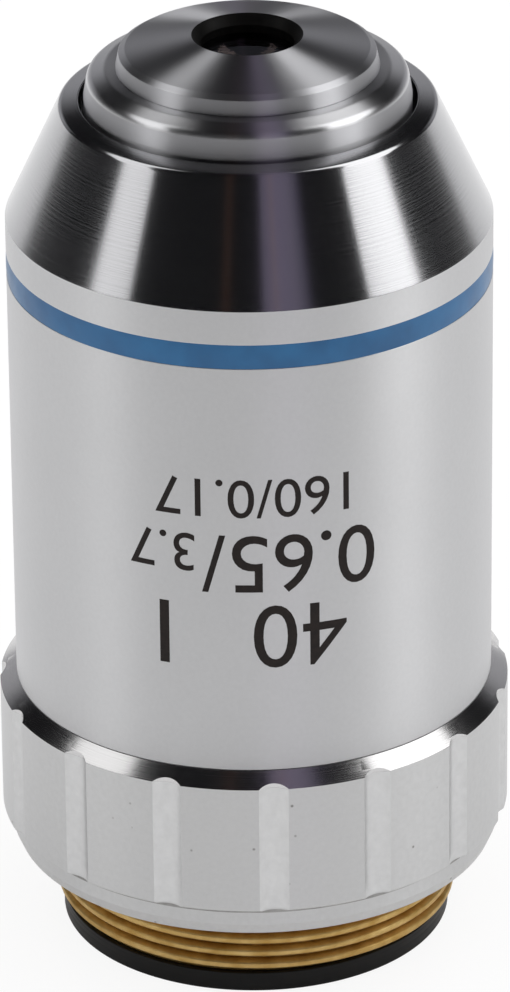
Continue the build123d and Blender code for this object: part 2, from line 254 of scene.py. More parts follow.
# Bare brass: warm yellow, a little tarnished in patches, with glints on the thread's crests.
bare_brass, tree, shader = finish("bare_turned_brass", Metallic=1.0, Anisotropic=0.4)
tarnish = grain(tree, 0.9, detail=4.0)
tinted(tree, shader, tarnish, "#c09a55", "#dcbd7e")
dulled(tree, shader, tarnish, 0.52, 0.44)
embossed(tree, shader, lathe_lines(tree, 0.06), 0.002, strength=0.5)
along_grooves(tree, shader)

mount_low, mount_high = (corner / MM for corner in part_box("mount_ring"))
thread_end, spigot_top = mount_low.z, mount_high.z
grip_radius, spigot_radius, sleeve_radius = mount_high.y, 10.98, 12.0
shoulder_radius, shoulder_edge = 12.12, 0.60
# The last value is the height of the painted shade band on the rim, under the grip's edge.
rim_radius, rim_top, painted_shade_width = 12.38, 1.58, 0.29
grip_top, ring_top = 8.44, 9.07
guide_bore, rear_bore, rear_bore_end = 8.49, 8.70, 4.50
pitch, thread_radius = 0.7056, 10.135
thread_depth = 0.64 * pitch
core_radius = thread_radius - thread_depth
thread_bevel, thread_bevel_height = 0.15, 0.20
flute_count, flute_width, flute_depth, flute_turn = 15, 1.47, 0.28, 4.1
bow = grip_radius - math.sqrt(grip_radius**2 - (flute_width / 2) ** 2)
cutter_radius = ((flute_width / 2) ** 2 + (flute_depth - bow) ** 2) / (2 * (flute_depth - bow))
cutter_middle = grip_radius - flute_depth + cutter_radius
flute_floor = cutter_middle - cutter_radius
FLUTE_STEPS, LAND_STEPS, RUNOUT_STEPS = 12, 14, 12


def flute_edge(radius):
    """Half of the angle that a flute takes up in the surface at that radius."""
    if radius <= flute_floor:
        return 0.0
    return math.acos((radius**2 + cutter_middle**2 - cutter_radius**2) / (2 * radius * cutter_middle))


def fluted(radius, column):
    """Where a column of the grip lies. Inside a flute it follows the round cutter."""
    flute, step = divmod(column, FLUTE_STEPS + LAND_STEPS)
    share = math.tau / flute_count
    edge = flute_edge(radius) if radius >= flute_floor else flute_edge(grip_radius)
    start = math.radians(flute_turn) + flute * share
    if step <= FLUTE_STEPS:
        off = edge * (2 * step / FLUTE_STEPS - 1)
        if radius > flute_floor:
            radius = cutter_middle * math.cos(off) - math.sqrt(
                max(cutter_radius**2 - (cutter_middle * math.sin(off)) ** 2, 0))
        return radius, start + off
    part = (step - FLUTE_STEPS) / LAND_STEPS
    return radius, start + edge + (share - 2 * edge) * part


SATIN, POLISHED, BRASS, MILLED, PAINTED_SHADE = range(5)
outline = rounded([
    (rear_bore, thread_end, 0, BRASS),
    (core_radius - thread_bevel, thread_end, 0, BRASS),
    (core_radius, thread_end + thread_bevel_height, 0, BRASS),
    (core_radius, 0, 0, SATIN),
    (shoulder_radius, 0, 0.05, SATIN),
    (rim_radius, shoulder_edge, 0.06, SATIN),
    # The rim's top band takes the painted shade under the grip's edge.
    (rim_radius, rim_top - painted_shade_width, 0, PAINTED_SHADE),
    (rim_radius, rim_top, 0, PAINTED_SHADE),
    (grip_radius, rim_top, 0.12, SATIN),
    (grip_radius, grip_top, 0.04, POLISHED),
    (sleeve_radius, ring_top, 0, SATIN),
    (spigot_radius, ring_top, 0, SATIN),
    (spigot_radius, spigot_top, 0.08, SATIN),
    (guide_bore, spigot_top, 0.08, SATIN),
    (guide_bore, rear_bore_end, 0, BRASS),
    (rear_bore, rear_bore_end, 0, BRASS),
])

# On the chamfer the flutes run out in arcs, so the outline gets rings there, closer near a flute's floor.
chamfer_start = max(n for n, p in enumerate(outline) if p[0] > flute_floor and p[2] == POLISHED)
chamfer_slope = (ring_top - grip_top) / (sleeve_radius - grip_radius)
from_radius, below_floor = outline[chamfer_start][0], 0.06
ring_radii = [flute_floor + (from_radius - flute_floor) * (1 - step / RUNOUT_STEPS) ** 2
              for step in range(1, RUNOUT_STEPS + 1)] + [flute_floor - below_floor]
outline[chamfer_start + 1:chamfer_start + 1] = [
    (radius, grip_top + (radius - grip_radius) * chamfer_slope, POLISHED) for radius in ring_radii]
grip = turned("mount_ring_body", outline,
              [satin_nickel, polished_nickel, bare_brass, milled_nickel, painted_shade_nickel],
              columns=flute_count * (FLUTE_STEPS + LAND_STEPS), place=fluted)

# Faces inside the flutes take the milled finish; the margins keep out the lands and the rounded edges.
floor_margin, land_margin, lower_margin, upper_margin = 0.05, 0.015, 0.06, 0.05
for face in grip.data.polygons:
    far, height = face.center.xy.length / MM, face.center.z / MM
    in_flute = flute_floor - floor_margin < far < grip_radius - land_margin
    if in_flute and rim_top + lower_margin < height < grip_top - upper_margin:
        face.material_index = MILLED
fit(grip, "housing", "satin_nickel", "mount_ring")


# The mounting thread itself: 36 turns per inch in the 55 degree form, cut right-handed into the bare brass.
# Its ridge runs out at both ends, as a single-point tool leaves it.
def tree_of(name, inputs):
    """A Geometry Nodes group with those (name, kind, value) inputs, ready for its nodes."""
    group = bpy.data.node_groups.new(name, "GeometryNodeTree")
    group.interface.new_socket("Geometry", in_out="OUTPUT", socket_type="NodeSocketGeometry")
    for label, kind, value in inputs:
        group.interface.new_socket(label, in_out="INPUT", socket_type=kind).default_value = value
    return group, node(group, "NodeGroupInput").outputs, node(group, "NodeGroupOutput")


def coil_tree(name, ridge):
    """Sweeps a section along a helix: a trapezoid ridge for a thread, a round one for wire. The ridge rises
    and falls over the run-out, a share of the helix, and its ends never close to a point."""
    length, whole = "NodeSocketFloat", "NodeSocketInt"
    group, given, result = tree_of(name, [
        ("Radius", length, 1.0), ("Start Height", length, 0.0), ("Height", length, 1.0),
        ("Turns", length, 1.0), ("Steps per Turn", whole, 96), ("Width", length, 1.0),
        ("Crest", length, 0.1), ("Depth", length, 1.0), ("Rounding", length, 0.0),
        ("Run-out", length, 0.02), ("Material", "NodeSocketMaterial", None),
    ])
    helix = node(group, "GeometryNodeCurveSpiral", {
        "Resolution": given["Steps per Turn"], "Rotations": given["Turns"], "Start Radius": given["Radius"],
        "End Radius": given["Radius"], "Height": given["Height"]})
    lift = node(group, "ShaderNodeCombineXYZ", {"Z": given["Start Height"]})
    helix = node(group, "GeometryNodeTransform", {"Geometry": helix, "Translation": lift})
    helix = node(group, "GeometryNodeSetCurveNormal", {"Curve": helix}, mode="Z_UP")
    if ridge:
        end_scale, fillet_steps = 0.03, 4
        along = node(group, "GeometryNodeSplineParameter").outputs["Factor"]
        back = node(group, "ShaderNodeMath", {0: 1.0, 1: along}, operation="SUBTRACT")
        ends = {n: node(group, "ShaderNodeMapRange", {"Value": part, "From Max": given["Run-out"]},
                        interpolation_type="SMOOTHSTEP") for n, part in enumerate((along, back))}
        both = node(group, "ShaderNodeMath", ends, operation="MULTIPLY")
        scale = node(group, "ShaderNodeMath", {0: both, 1: end_scale}, operation="MAXIMUM")
        helix = node(group, "GeometryNodeSetCurveRadius", {"Curve": helix, "Radius": scale})
        section = node(group, "GeometryNodeCurvePrimitiveQuadrilateral", {
            "Bottom Width": given["Width"], "Top Width": given["Crest"], "Height": given["Depth"],
            "Offset": 0.0}, mode="TRAPEZOID")
        section = node(group, "GeometryNodeFilletCurve", {
            "Curve": section, "Count": fillet_steps, "Radius": given["Rounding"],
            "Limit Radius": True}, mode="POLY")
        quarter = node(group, "ShaderNodeCombineXYZ", {"Z": math.radians(90)})
        half = node(group, "ShaderNodeMath", {0: given["Depth"], 1: -0.5}, operation="MULTIPLY")
        out = node(group, "ShaderNodeCombineXYZ", {"X": half})
        section = node(group, "GeometryNodeTransform", {
            "Geometry": section, "Rotation": quarter, "Translation": out})
    else:
        sides = 24
        half = node(group, "ShaderNodeMath", {0: given["Width"], 1: 0.5}, operation="MULTIPLY")
        section = node(group, "GeometryNodeCurvePrimitiveCircle", {"Resolution": sides, "Radius": half})
    swept = node(group, "GeometryNodeCurveToMesh", {
        "Curve": helix, "Profile Curve": section, "Fill Caps": True})
    real = node(group, "GeometryNodeRealizeInstances", {"Geometry": swept})
    coated = node(group, "GeometryNodeSetMaterial", {"Geometry": real, "Material": given["Material"]})
    group.links.new(coated.outputs[0], result.inputs[0])
    return group


def grown(name, group, values, sharp=30):
    """The plain mesh that a Geometry Nodes group makes from those values."""
    carrier = bpy.data.objects.new(name + "_carrier", bpy.data.meshes.new(name + "_carrier"))
    bpy.context.scene.collection.objects.link(carrier)
    grower = carrier.modifiers.new("grow", "NODES")
    grower.node_group = group
    sockets = {item.name: item.identifier for item in group.interface.items_tree if item.in_out == "INPUT"}
    for label, value in values.items():
        grower[sockets[label]] = value
    bpy.context.view_layer.update()
    result = bpy.data.meshes.new_from_object(carrier.evaluated_get(bpy.context.evaluated_depsgraph_get()))
    carrier.modifiers.remove(grower)
    bpy.data.objects.remove(carrier)
    mesh = bmesh.new()
    mesh.from_mesh(result)
    return as_object(name, mesh, result.materials, sharp)


thread_start, thread_stop, sunk = thread_end + 0.40, -0.30, 0.03
ridge_foot, ridge_crest, ridge_rounding, run_out = 0.94 * pitch, 0.40 * pitch, 0.11, 0.04
thread = grown("mounting_thread", coil_tree("thread_ridge", ridge=True), {
    "Radius": (core_radius - sunk) * MM, "Start Height": thread_start * MM,
    "Height": (thread_stop - thread_start) * MM, "Turns": (thread_stop - thread_start) / pitch,
    "Width": ridge_foot * MM, "Crest": ridge_crest * MM, "Depth": (thread_depth + sunk) * MM,
    "Rounding": ridge_rounding * MM, "Run-out": run_out, "Material": bare_brass})
fit(thread, "housing", "satin_nickel")

# Rear ring. Black anodised aluminium, screwed into the mount's rear bore with a pin spanner; the objective
# stands on it. Two slots are milled across its face for the spanner.
rear_low, rear_high = (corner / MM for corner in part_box("rear_ring"))
rear_radius, rear_opening = rear_high.x, 7.20
neck_radius = rear_bore - 0.02
spanner_slot, spanner_depth, spanner_land = 1.40, 0.60, 1.10
beyond = 1.0

# Black anodising: deep black with a dull sheen that varies a little from ring to ring of the turning.
black_anodised, tree, shader = finish("black_anodised_aluminium", Metallic=0.0, IOR=1.33, Anisotropic=0.5)
tinted(tree, shader, grain(tree, 0.7), "#050505", "#0b0b0b")
dulled(tree, shader, lathe_lines(tree, 0.1), 0.32, 0.48)
embossed(tree, shader, lathe_lines(tree, 0.1), 0.003, strength=0.4)
along_grooves(tree, shader)


def cut_out(piece, cutter):
    """Cuts a scratch object's shape out of a piece, as a plain mesh, and clears the scratch object away."""
    cut = piece.modifiers.new("cut", "BOOLEAN")
    cut.object, cut.operation, cut.solver = cutter, "DIFFERENCE", "EXACT"
    bpy.context.view_layer.update()
    result = bpy.data.meshes.new_from_object(piece.evaluated_get(bpy.context.evaluated_depsgraph_get()))
    piece.modifiers.remove(cut)
    piece.data = result
    result.name = piece.name
    result.set_sharp_from_angle(angle=math.radians(30))
    bpy.data.objects.remove(cutter)


def block(low, high):
    """A straight-sided cutter between two corners in mm."""
    mesh = bmesh.new()
    bmesh.ops.create_cube(mesh, size=1.0)
    size, middle = Vector(high) - Vector(low), (Vector(high) + Vector(low)) / 2
    place = Matrix.Translation(middle * MM) @ Matrix.Diagonal((*(size * MM), 1.0))
    bmesh.ops.transform(mesh, matrix=place, verts=mesh.verts)
    return as_object("cutter", mesh)


ring = turned("rear_ring_body", rounded([
    (rear_opening, rear_low.z, 0.10, 0),
    (rear_radius, rear_low.z, 0.12, 0),
    (rear_radius, thread_end, 0.05, 0),
    (neck_radius, thread_end, 0, 0),
    (neck_radius, rear_high.z, 0.05, 0),
    (rear_opening, rear_high.z, 0.05, 0),
]), [black_anodised], columns=240)
reach = rear_radius - spanner_land
cut_out(ring, block((-reach, -spanner_slot / 2, rear_low.z - beyond),
                    (reach, spanner_slot / 2, rear_low.z + spanner_depth)))
fit(ring, "housing", "black_ring", "rear_ring")

# Outer sleeve. Turned brass, satin chrome on its cylinder and polished on the cone and the front face, with
# a shallow groove for the coloured band. It screws onto the mount's spigot, and the nose slides in it.
sleeve_low, sleeve_high = (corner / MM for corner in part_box("outer_sleeve"))
sleeve_foot, sleeve_front = sleeve_low.z + 0.02, sleeve_high.z
band_low, band_high = (corner.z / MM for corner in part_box("colour_band"))
groove_radius = sleeve_radius - 0.12
cone_foot, cone_top, cone_top_radius = 33.86, 39.75, 9.25
opening, stop_height, guide_end = 8.28, 36.60, 31.90
front_guide, relief_bore, spigot_thread = 9.70, 10.40, 11.00
relief_start = spigot_top + 0.40

# Satin chrome: a pale, cloudy grey from fine blasting; its grain is drawn coarser than it is, to show.
satin_chrome, tree, shader = finish("satin_chrome_on_brass", Metallic=1.0, Anisotropic=0.88)
cloud = grain(tree, 6.0, detail=2.0)
speck = grain(tree, 0.22, detail=3.0)
parts = {n: node(tree, "ShaderNodeMath", {0: pattern, 1: share}, operation="MULTIPLY")
         for n, (pattern, share) in enumerate(((cloud, 0.7), (speck, 0.3)))}
tinted(tree, shader, node(tree, "ShaderNodeMath", parts, operation="ADD"), "#cececf", "#d8d8d9")
dulled(tree, shader, cloud, 0.38, 0.42)
embossed(tree, shader, grain(tree, 0.09), 0.004, strength=0.5)
along_grooves(tree, shader)

# Polished chrome: dark and bright by turns, as it mirrors the room, drawn out across its turned rings.
polished_chrome, tree, shader = finish("polished_chrome_on_brass", Metallic=1.0,
                                       Base_Color=paint("#b8b8ba"), Anisotropic=0.75)
dulled(tree, shader, lathe_lines(tree, 0.07), 0.12, 0.22)
along_grooves(tree, shader)

sleeve = turned("outer_sleeve_body", rounded([
    (spigot_thread, sleeve_foot, 0, 0),
    (sleeve_radius, sleeve_foot, 0.06, 0),
    (sleeve_radius, band_low, 0.02, 0),
    (groove_radius, band_low, 0, 0),
    (groove_radius, band_high, 0, 0),
    (sleeve_radius, band_high, 0.02, 0),
    (sleeve_radius, cone_foot, 0.06, 1),
    (cone_top_radius, cone_top, 0.30, 1),
    (opening, sleeve_front, 0.05, 1),
    (opening, stop_height, 0, 0),
    (front_guide, stop_height, 0, 0),
    (front_guide, guide_end, 0, 0),
    (relief_bore, guide_end, 0, 0),
    (relief_bore, relief_start, 0, 0),
    (spigot_thread, relief_start, 0, 0),
]), [satin_chrome, polished_chrome], columns=360)
fit(sleeve, "housing", "satin_chrome", "outer_sleeve")

# Coloured band. Blue lacquer run into the groove while the sleeve turns; it stands a hair proud in the
# middle and tells the magnification.
band_crown, band_sink, BAND_STEPS = 0.025, 0.015, 8

# Lacquer: an even, slightly cloudy blue under a soft gloss that the brush has drawn out round the sleeve.
lacquer_blue, tree, shader = finish("blue_lacquer", IOR=1.5, Anisotropic=0.8)
tinted(tree, shader, grain(tree, 1.8), "#0e4c78", "#165a88")
dulled(tree, shader, grain(tree, 0.8), 0.34, 0.40)
along_grooves(tree, shader)

band_points = [(groove_radius, band_low, 0)]
for step in range(BAND_STEPS + 1):
    across = step / BAND_STEPS
    crown = band_crown * (1 - (2 * across - 1) ** 2) - band_sink
    band_points.append((sleeve_radius + crown, band_low + (band_high - band_low) * across, 0))
band_points.append((groove_radius, band_high, 0))
band = turned("colour_band_lacquer", band_points, [lacquer_blue], columns=360)
fit(band, "housing", "blue_lacquer", "colour_band")

# Markings. Dark ink printed on the satin sleeve in three rows that read with the nose down, as the
# objective hangs on its microscope: plain numbers for power, aperture, tube length and cover glass.
ink_thickness, ink_rise, ink_slice, half_extrusion = 0.03, 0.008, 0.25, 0.5
small, medium, large = 2.05, 3.1, 3.4

# Printing ink: a warm brown-black, thin and nearly dull, so the sleeve's shine stops at the figures.
ink, tree, shader = finish("printing_ink_brown_black", IOR=1.3, Roughness=0.5)
tinted(tree, shader, grain(tree, 0.25), "#140d0b", "#1f1613")


def lettering(words, height):
    """A word as a thin solid that lies flat, its foot and left edge at the origin, and its width."""
    curve = bpy.data.curves.new("words", "FONT")
    curve.body = words
    curve.extrude = half_extrusion
    curve.resolution_u = 6
    holder = bpy.data.objects.new("words", curve)
    bpy.context.scene.collection.objects.link(holder)
    bpy.context.view_layer.update()
    mesh = bmesh.new()
    mesh.from_mesh(bpy.data.meshes.new_from_object(
        holder.evaluated_get(bpy.context.evaluated_depsgraph_get())))
    bpy.data.objects.remove(holder)
    left, foot = min(v.co.x for v in mesh.verts), min(v.co.y for v in mesh.verts)
    scale = height / (max(v.co.y for v in mesh.verts) - foot)
    for vert in mesh.verts:
        vert.co = Vector(((vert.co.x - left) * scale, (vert.co.y - foot) * scale, vert.co.z))
    return mesh, max(v.co.x for v in mesh.verts)


def row_of(words, foot):
    """One row of (word, height, gap after it), centred on the front, as it reads with the nose down, and
    wrapped round the sleeve with its foot at that height on the objective."""
    made = [(*lettering(word, height), gap) for word, height, gap in words]
    start = -sum(width + gap for _, width, gap in made) / 2
    joined = bmesh.new()
    for mesh, width, gap in made:
        for cut in range(1, int(width / ink_slice) + 1):
            everything = list(mesh.verts) + list(mesh.edges) + list(mesh.faces)
            bmesh.ops.bisect_plane(mesh, geom=everything, plane_co=(cut * ink_slice, 0, 0),
                                   plane_no=(1, 0, 0))
        for vert in mesh.verts:
            angle = -(start + vert.co.x) / sleeve_radius
            far = sleeve_radius + ink_rise + (vert.co.z - half_extrusion) * ink_thickness
            vert.co = Vector((far * math.sin(angle), -far * math.cos(angle), foot - vert.co.y)) * MM
        piece = bpy.data.meshes.new("word")
        mesh.to_mesh(piece)
        mesh.free()
        joined.from_mesh(piece)
        start += width + gap
    return joined


rows = bmesh.new()
for foot, words in (
    (24.95, [("160/0.17", small, 0)]),
    (21.95, [("0.65/", medium, 0.35), ("3.7", small, 0)]),
    (18.15, [("40", large, 4.2), ("1", large, 0)]),
):
    printed = bpy.data.meshes.new("row")
    row_of(words, foot).to_mesh(printed)
    rows.from_mesh(printed)
markings = as_object("printed_markings", rows, [ink], sharp=40)
fit(markings, "housing", "satin_chrome")

# Lens barrel. Turned brass tube that carries every lens and slides in the sleeve: chromed outside and
# blackened inside, with a flange as front guide and stop and a slot behind for the guide screw.
barrel_low, barrel_high = (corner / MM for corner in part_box("lens_barrel"))
barrel_rear, nose_top = barrel_low.z, barrel_high.z
nose_radius, nose_foot = 8.03, 40.13
nose_edge_radius, nose_edge, nose_edge_rounding = 7.85, 41.23, 0.42
ledge_radius, ledge_height, ledge_rounding = 7.00, 41.56, 0.50
tip_radius = 6.38
flange_radius, flange_bottom, barrel_radius = barrel_high.x, 34.20, 7.90
rear_guide_radius, rear_guide_end = 8.45, spigot_top - 0.04
stack_bore, head_bore, stack_top = 6.60, 5.52, 37.59
nose_travel, screw_height = 2.0, spigot_top - 2.90
slot_half, slot_floor = 0.65, 7.65

# Blackened brass: matt and nearly black, so that no stray light gets through.
blackened, tree, shader = finish("blackened_brass", Metallic=0.0, IOR=1.2)
tinted(tree, shader, grain(tree, 0.5), "#050504", "#0b0907")
dulled(tree, shader, lathe_lines(tree, 0.12), 0.45, 0.62)
embossed(tree, shader, lathe_lines(tree, 0.12), 0.006)

# Turned chrome on the nose: its fine turned rings draw every reflection out towards the axis, into fans.
turned_chrome, tree, shader = finish("turned_chrome_on_brass", Metallic=1.0, Base_Color=paint("#c6c6c9"),
                                     Anisotropic=0.98)
dulled(tree, shader, lathe_lines(tree, 0.07), 0.37, 0.42)
along_grooves(tree, shader)

# Burnished chrome on the nose's shallow slope: smoother, so the soft boxes show as two bright patches.
bright_chrome, tree, shader = finish("burnished_chrome_on_brass", Metallic=1.0, Base_Color=paint("#d0d0d2"),
                                     Anisotropic=0.95)
dulled(tree, shader, lathe_lines(tree, 0.07), 0.28, 0.30)
along_grooves(tree, shader)

TURNED, BLACKENED, BRIGHT = range(3)
barrel = turned("lens_barrel_body", rounded([
    (stack_bore, barrel_rear, 0.08, TURNED),
    (rear_guide_radius, barrel_rear, 0.10, TURNED),
    (rear_guide_radius, rear_guide_end, 0.05, TURNED),
    (barrel_radius, rear_guide_end, 0, TURNED),
    (barrel_radius, flange_bottom, 0, TURNED),
    (flange_radius, flange_bottom, 0.10, TURNED),
    (flange_radius, stop_height, 0.10, TURNED),
    (nose_radius, stop_height, 0, TURNED),
    (nose_radius, nose_foot, 0.05, TURNED),
    (nose_edge_radius, nose_edge, nose_edge_rounding, BRIGHT),
    (ledge_radius, ledge_height, ledge_rounding, BRIGHT),
    (tip_radius, nose_top, 0, BLACKENED),
    (head_bore, nose_top, 0, BLACKENED),
    (head_bore, stack_top, 0, BLACKENED),
    (stack_bore, stack_top, 0, BLACKENED),
]), [turned_chrome, blackened, bright_chrome])
cut_out(barrel, block((-slot_half, slot_floor, screw_height - slot_half),
                      (slot_half, rear_guide_radius + beyond, screw_height + slot_half + nose_travel)))
fit(barrel, "nose", "polished_chrome", "lens_barrel")

# Front cell. Turned brass cap screwed into the barrel's end. The slope round its aperture is chromed over
# fine turning; the flared aperture and the bore behind it are blackened, round the front lens.
tip_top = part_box("front_cell")[1].z / MM
tip_edge, tip_shoulder, tip_shoulder_radius, tip_draw = 42.36, 42.56, 5.98, 0.08
aperture_radius, clear_radius, lens_seat, lens_land = 2.69, 2.30, 42.35, 42.75
lens_bore, holder_bottom = 3.02, 41.35
cell_radius, cell_bore, cell_end = 5.50, 4.40, 37.99
front = turned("front_cell_body", rounded([
    (aperture_radius, tip_top, 0.06, BLACKENED),
    (clear_radius, lens_land, 0.04, BLACKENED),
    (clear_radius, lens_seat, 0, BLACKENED),
    (lens_bore, lens_seat, 0, BLACKENED),
    (lens_bore, holder_bottom, 0, BLACKENED),
    (cell_bore, holder_bottom, 0, BLACKENED),
    (cell_bore, cell_end, 0, BLACKENED),
    (cell_radius, cell_end, 0, BLACKENED),
    (cell_radius, nose_top, 0, TURNED),
    (tip_radius + tip_draw, nose_top, 0.03, TURNED),
    (tip_radius - tip_draw, tip_edge, 0.05, TURNED),
    (tip_shoulder_radius, tip_shoulder, 0.05, TURNED),
]), [turned_chrome, blackened])
fit(front, "nose", "polished_chrome", "front_cell")

# Front lens. A thick little lens, ground flat in front and domed behind, and coated with magnesium fluoride
# against reflections. It is cemented into the front cell's seat.
lens_radius, lens_rim, lens_curve, lens_bevel, DOME_STEPS = 3.0, 1.0, 4.2, 0.08, 24
lens_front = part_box("front_lens")[1].z / MM
dome_depth = lens_curve - math.sqrt(lens_curve**2 - lens_radius**2)

# Coated glass: clear, with a faint purple and amber cast where the thin coating mirrors light.
coated_glass, tree, shader = finish("coated_optical_glass", Base_Color=paint("#f4f2f6"), Roughness=0.0,
                                    IOR=1.52, Transmission_Weight=1.0, Thin_Film_Thickness=140.0,
                                    Thin_Film_IOR=1.38)
lens_points = [(0, lens_front, 0), (lens_radius - lens_bevel, lens_front, 0),
               (lens_radius, lens_front - lens_bevel, 0)]
for step in range(DOME_STEPS + 1):
    far = lens_radius * (1 - step / DOME_STEPS)
    depth = dome_depth - (lens_curve - math.sqrt(lens_curve**2 - far**2))
    lens_points.append((far, lens_front - lens_rim - depth, 0))
front_lens = turned("front_lens_glass", lens_points, [coated_glass], columns=160)
fit(front_lens, "nose", "coated_glass", "front_lens")

# The lens stack inside: blackened cells, spacers, the stop and the slotted lock ring, and the coated
# glasses that they hold. They show only through the rear opening, so they stay as the frame gives them.
for name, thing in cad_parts.items():
    if thing.hide_render or name in ("guide_screw", "return_spring"):
        continue
    glass = any(word in name for word in ("lens", "flint", "crown"))
    thing.data.materials.clear()
    thing.data.materials.append(coated_glass if glass else blackened)

# Return spring. Music-wire coil between the mount's spigot and the barrel's flange; it pushes the nose back
# out and is squeezed along its length as the nose goes in.
wire, spring_turns, spring_play = 0.80, 5.5, 0.10
spring_radius = guide_bore + spring_play + wire / 2
spring_low, spring_high = spigot_top + wire / 2, flange_bottom - wire / 2

# Oiled spring wire: drawn smooth, so it glints in narrow lines along the coil.
spring_steel, tree, shader = finish("oiled_spring_wire", Metallic=1.0)
tinted(tree, shader, grain(tree, 0.6), "#8f8f8c", "#b3b3af")
dulled(tree, shader, grain(tree, 0.2), 0.24, 0.36)

spring = grown("return_spring_coil", coil_tree("wire_coil", ridge=False), {
    "Radius": spring_radius * MM, "Start Height": spring_low * MM,
    "Height": (spring_high - spring_low) * MM, "Turns": spring_turns, "Width": wire * MM,
    "Steps per Turn": 64, "Material": spring_steel}, sharp=50)
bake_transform(spring)
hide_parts("return_spring")

# Guide screw. Small slotted steel screw through the wall of the mount's spigot, which is drilled for it
# here; its plain point runs in the barrel's slot and keeps the nose from turning.
screw_hole, drill_length = 0.80, 4.0

# Turned steel: a plain mid grey with soft highlights.
screw_steel, tree, shader = finish("turned_screw_steel", Metallic=1.0)
tinted(tree, shader, grain(tree, 0.3), "#7d7c7a", "#9c9b98")
dulled(tree, shader, grain(tree, 0.15), 0.28, 0.40)

drill = bmesh.new()
bmesh.ops.create_cone(drill, cap_ends=True, segments=48, radius1=screw_hole * MM, radius2=screw_hole * MM,
                      depth=drill_length * MM)
bmesh.ops.transform(drill, matrix=Matrix.Translation((0, spigot_radius * MM, screw_height * MM))
                    @ Matrix.Rotation(math.radians(90), 4, "X"), verts=drill.verts)
cut_out(grip, as_object("drill", drill))
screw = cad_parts["guide_screw"]
screw.data.materials.clear()
screw.data.materials.append(screw_steel)


# Stage. A round white table carries the object's shadow; two soft boxes stand at its sides, and the room
# towards the camera is dark, so the polished faces mirror dark between the boxes.
def ray_kinds(tree):
    """Whether the camera looks straight at this, and whether a mirroring or clear surface lies between."""
    path = node(tree, "ShaderNodeLightPath").outputs
    mirrored = {0: path["Is Glossy Ray"], 1: path["Is Transmission Ray"]}
    return path["Is Camera Ray"], node(tree, "ShaderNodeMath", mirrored, operation="MAXIMUM")


# White card: matt, and lit evenly enough to fade into the white background. A mirroring surface sees less
# of it near the object, in its shade, and none of it past its front edge. All distances are in metres.
table_radius, table_drop = 6.0, 0.01
shade_start, shade_end, edge_start, edge_end = 0.013, 0.032, 0.25, 0.60
seen_white, mirrored_white = 0.88, 0.55
pure_white, past_table = (1, 1, 1, 1), (0.01, 0.01, 0.01, 1)
bpy.ops.mesh.primitive_circle_add(vertices=96, radius=table_radius, fill_type="NGON",
                                  location=(0, 0, (rear_low.z - table_drop) * MM))
table = bpy.context.object
table.name = "table"
white_card = bpy.data.materials.new("white_table")
white_card.use_nodes = True
tree = white_card.node_tree
tree.nodes.clear()
to_camera, mirrored = ray_kinds(tree)
place = node(tree, "ShaderNodeTexCoord").outputs["Object"]
distance = node(tree, "ShaderNodeVectorMath", {0: place}, operation="LENGTH").outputs["Value"]
clear = node(tree, "ShaderNodeMapRange", {"Value": distance, "From Min": shade_start, "From Max": shade_end,
                                          "To Max": mirrored_white})
shares = {
    0: node(tree, "ShaderNodeMath", {0: mirrored, 1: clear}, operation="MULTIPLY"),
    1: node(tree, "ShaderNodeMath", {0: to_camera, 1: seen_white}, operation="MULTIPLY"),
}
card = node(tree, "ShaderNodeMixShader", {
    0: node(tree, "ShaderNodeMath", shares, operation="ADD"),
    1: node(tree, "ShaderNodeBsdfDiffuse", {"Color": paint("#f2f2f2")}),
    2: node(tree, "ShaderNodeEmission", {"Color": pure_white, "Strength": 1.0}),
})
side = node(tree, "ShaderNodeSeparateXYZ", {0: place}).outputs["Y"]
forward = node(tree, "ShaderNodeMath", {0: side, 1: -1.0}, operation="MULTIPLY")
past_edge = node(tree, "ShaderNodeMapRange", {
    "Value": forward, "From Min": edge_start, "From Max": edge_end})
card = node(tree, "ShaderNodeMixShader", {
    0: node(tree, "ShaderNodeMath", {0: mirrored, 1: past_edge}, operation="MULTIPLY"),
    1: card,
    2: node(tree, "ShaderNodeEmission", {"Color": past_table, "Strength": 1.0}),
})
node(tree, "ShaderNodeOutputMaterial", {"Surface": card})
white_card.cycles.emission_sampling = "NONE"
table.data.materials.append(white_card)

look_at = Vector((0.145, 0, 18.23)) * MM


def soft_box(name, azimuth, elevation, turn, length, width, level):
    """A rectangular soft box at that place round the object, in degrees from the camera's side, whose face
    has that radiance. Length and width are for a distance of 1."""
    distance = 0.45
    side, rise = math.radians(azimuth), math.radians(elevation)
    away = Vector((math.sin(side) * math.cos(rise), -math.cos(side) * math.cos(rise), math.sin(rise)))
    lamp = bpy.data.lights.new(name, "AREA")
    lamp.shape = "RECTANGLE"
    lamp.size, lamp.size_y = length * distance, width * distance
    lamp.energy = level * math.pi * lamp.size * lamp.size_y
    holder = bpy.data.objects.new(name, lamp)
    across = Vector((math.cos(side), math.sin(side), 0))
    up = away.cross(across)
    long_way = across * math.cos(math.radians(turn)) + up * math.sin(math.radians(turn))
    short_way = away.cross(long_way)
    holder.matrix_world = Matrix.Translation(look_at + away * distance) @ Matrix(
        (long_way, short_way, away)).transposed().to_4x4()
    bpy.context.scene.collection.objects.link(holder)


soft_box("soft_box_right", azimuth=92, elevation=44, turn=46, length=1.50, width=0.52, level=2.05)
soft_box("soft_box_left", azimuth=-89, elevation=44, turn=134, length=1.50, width=0.38, level=1.40)

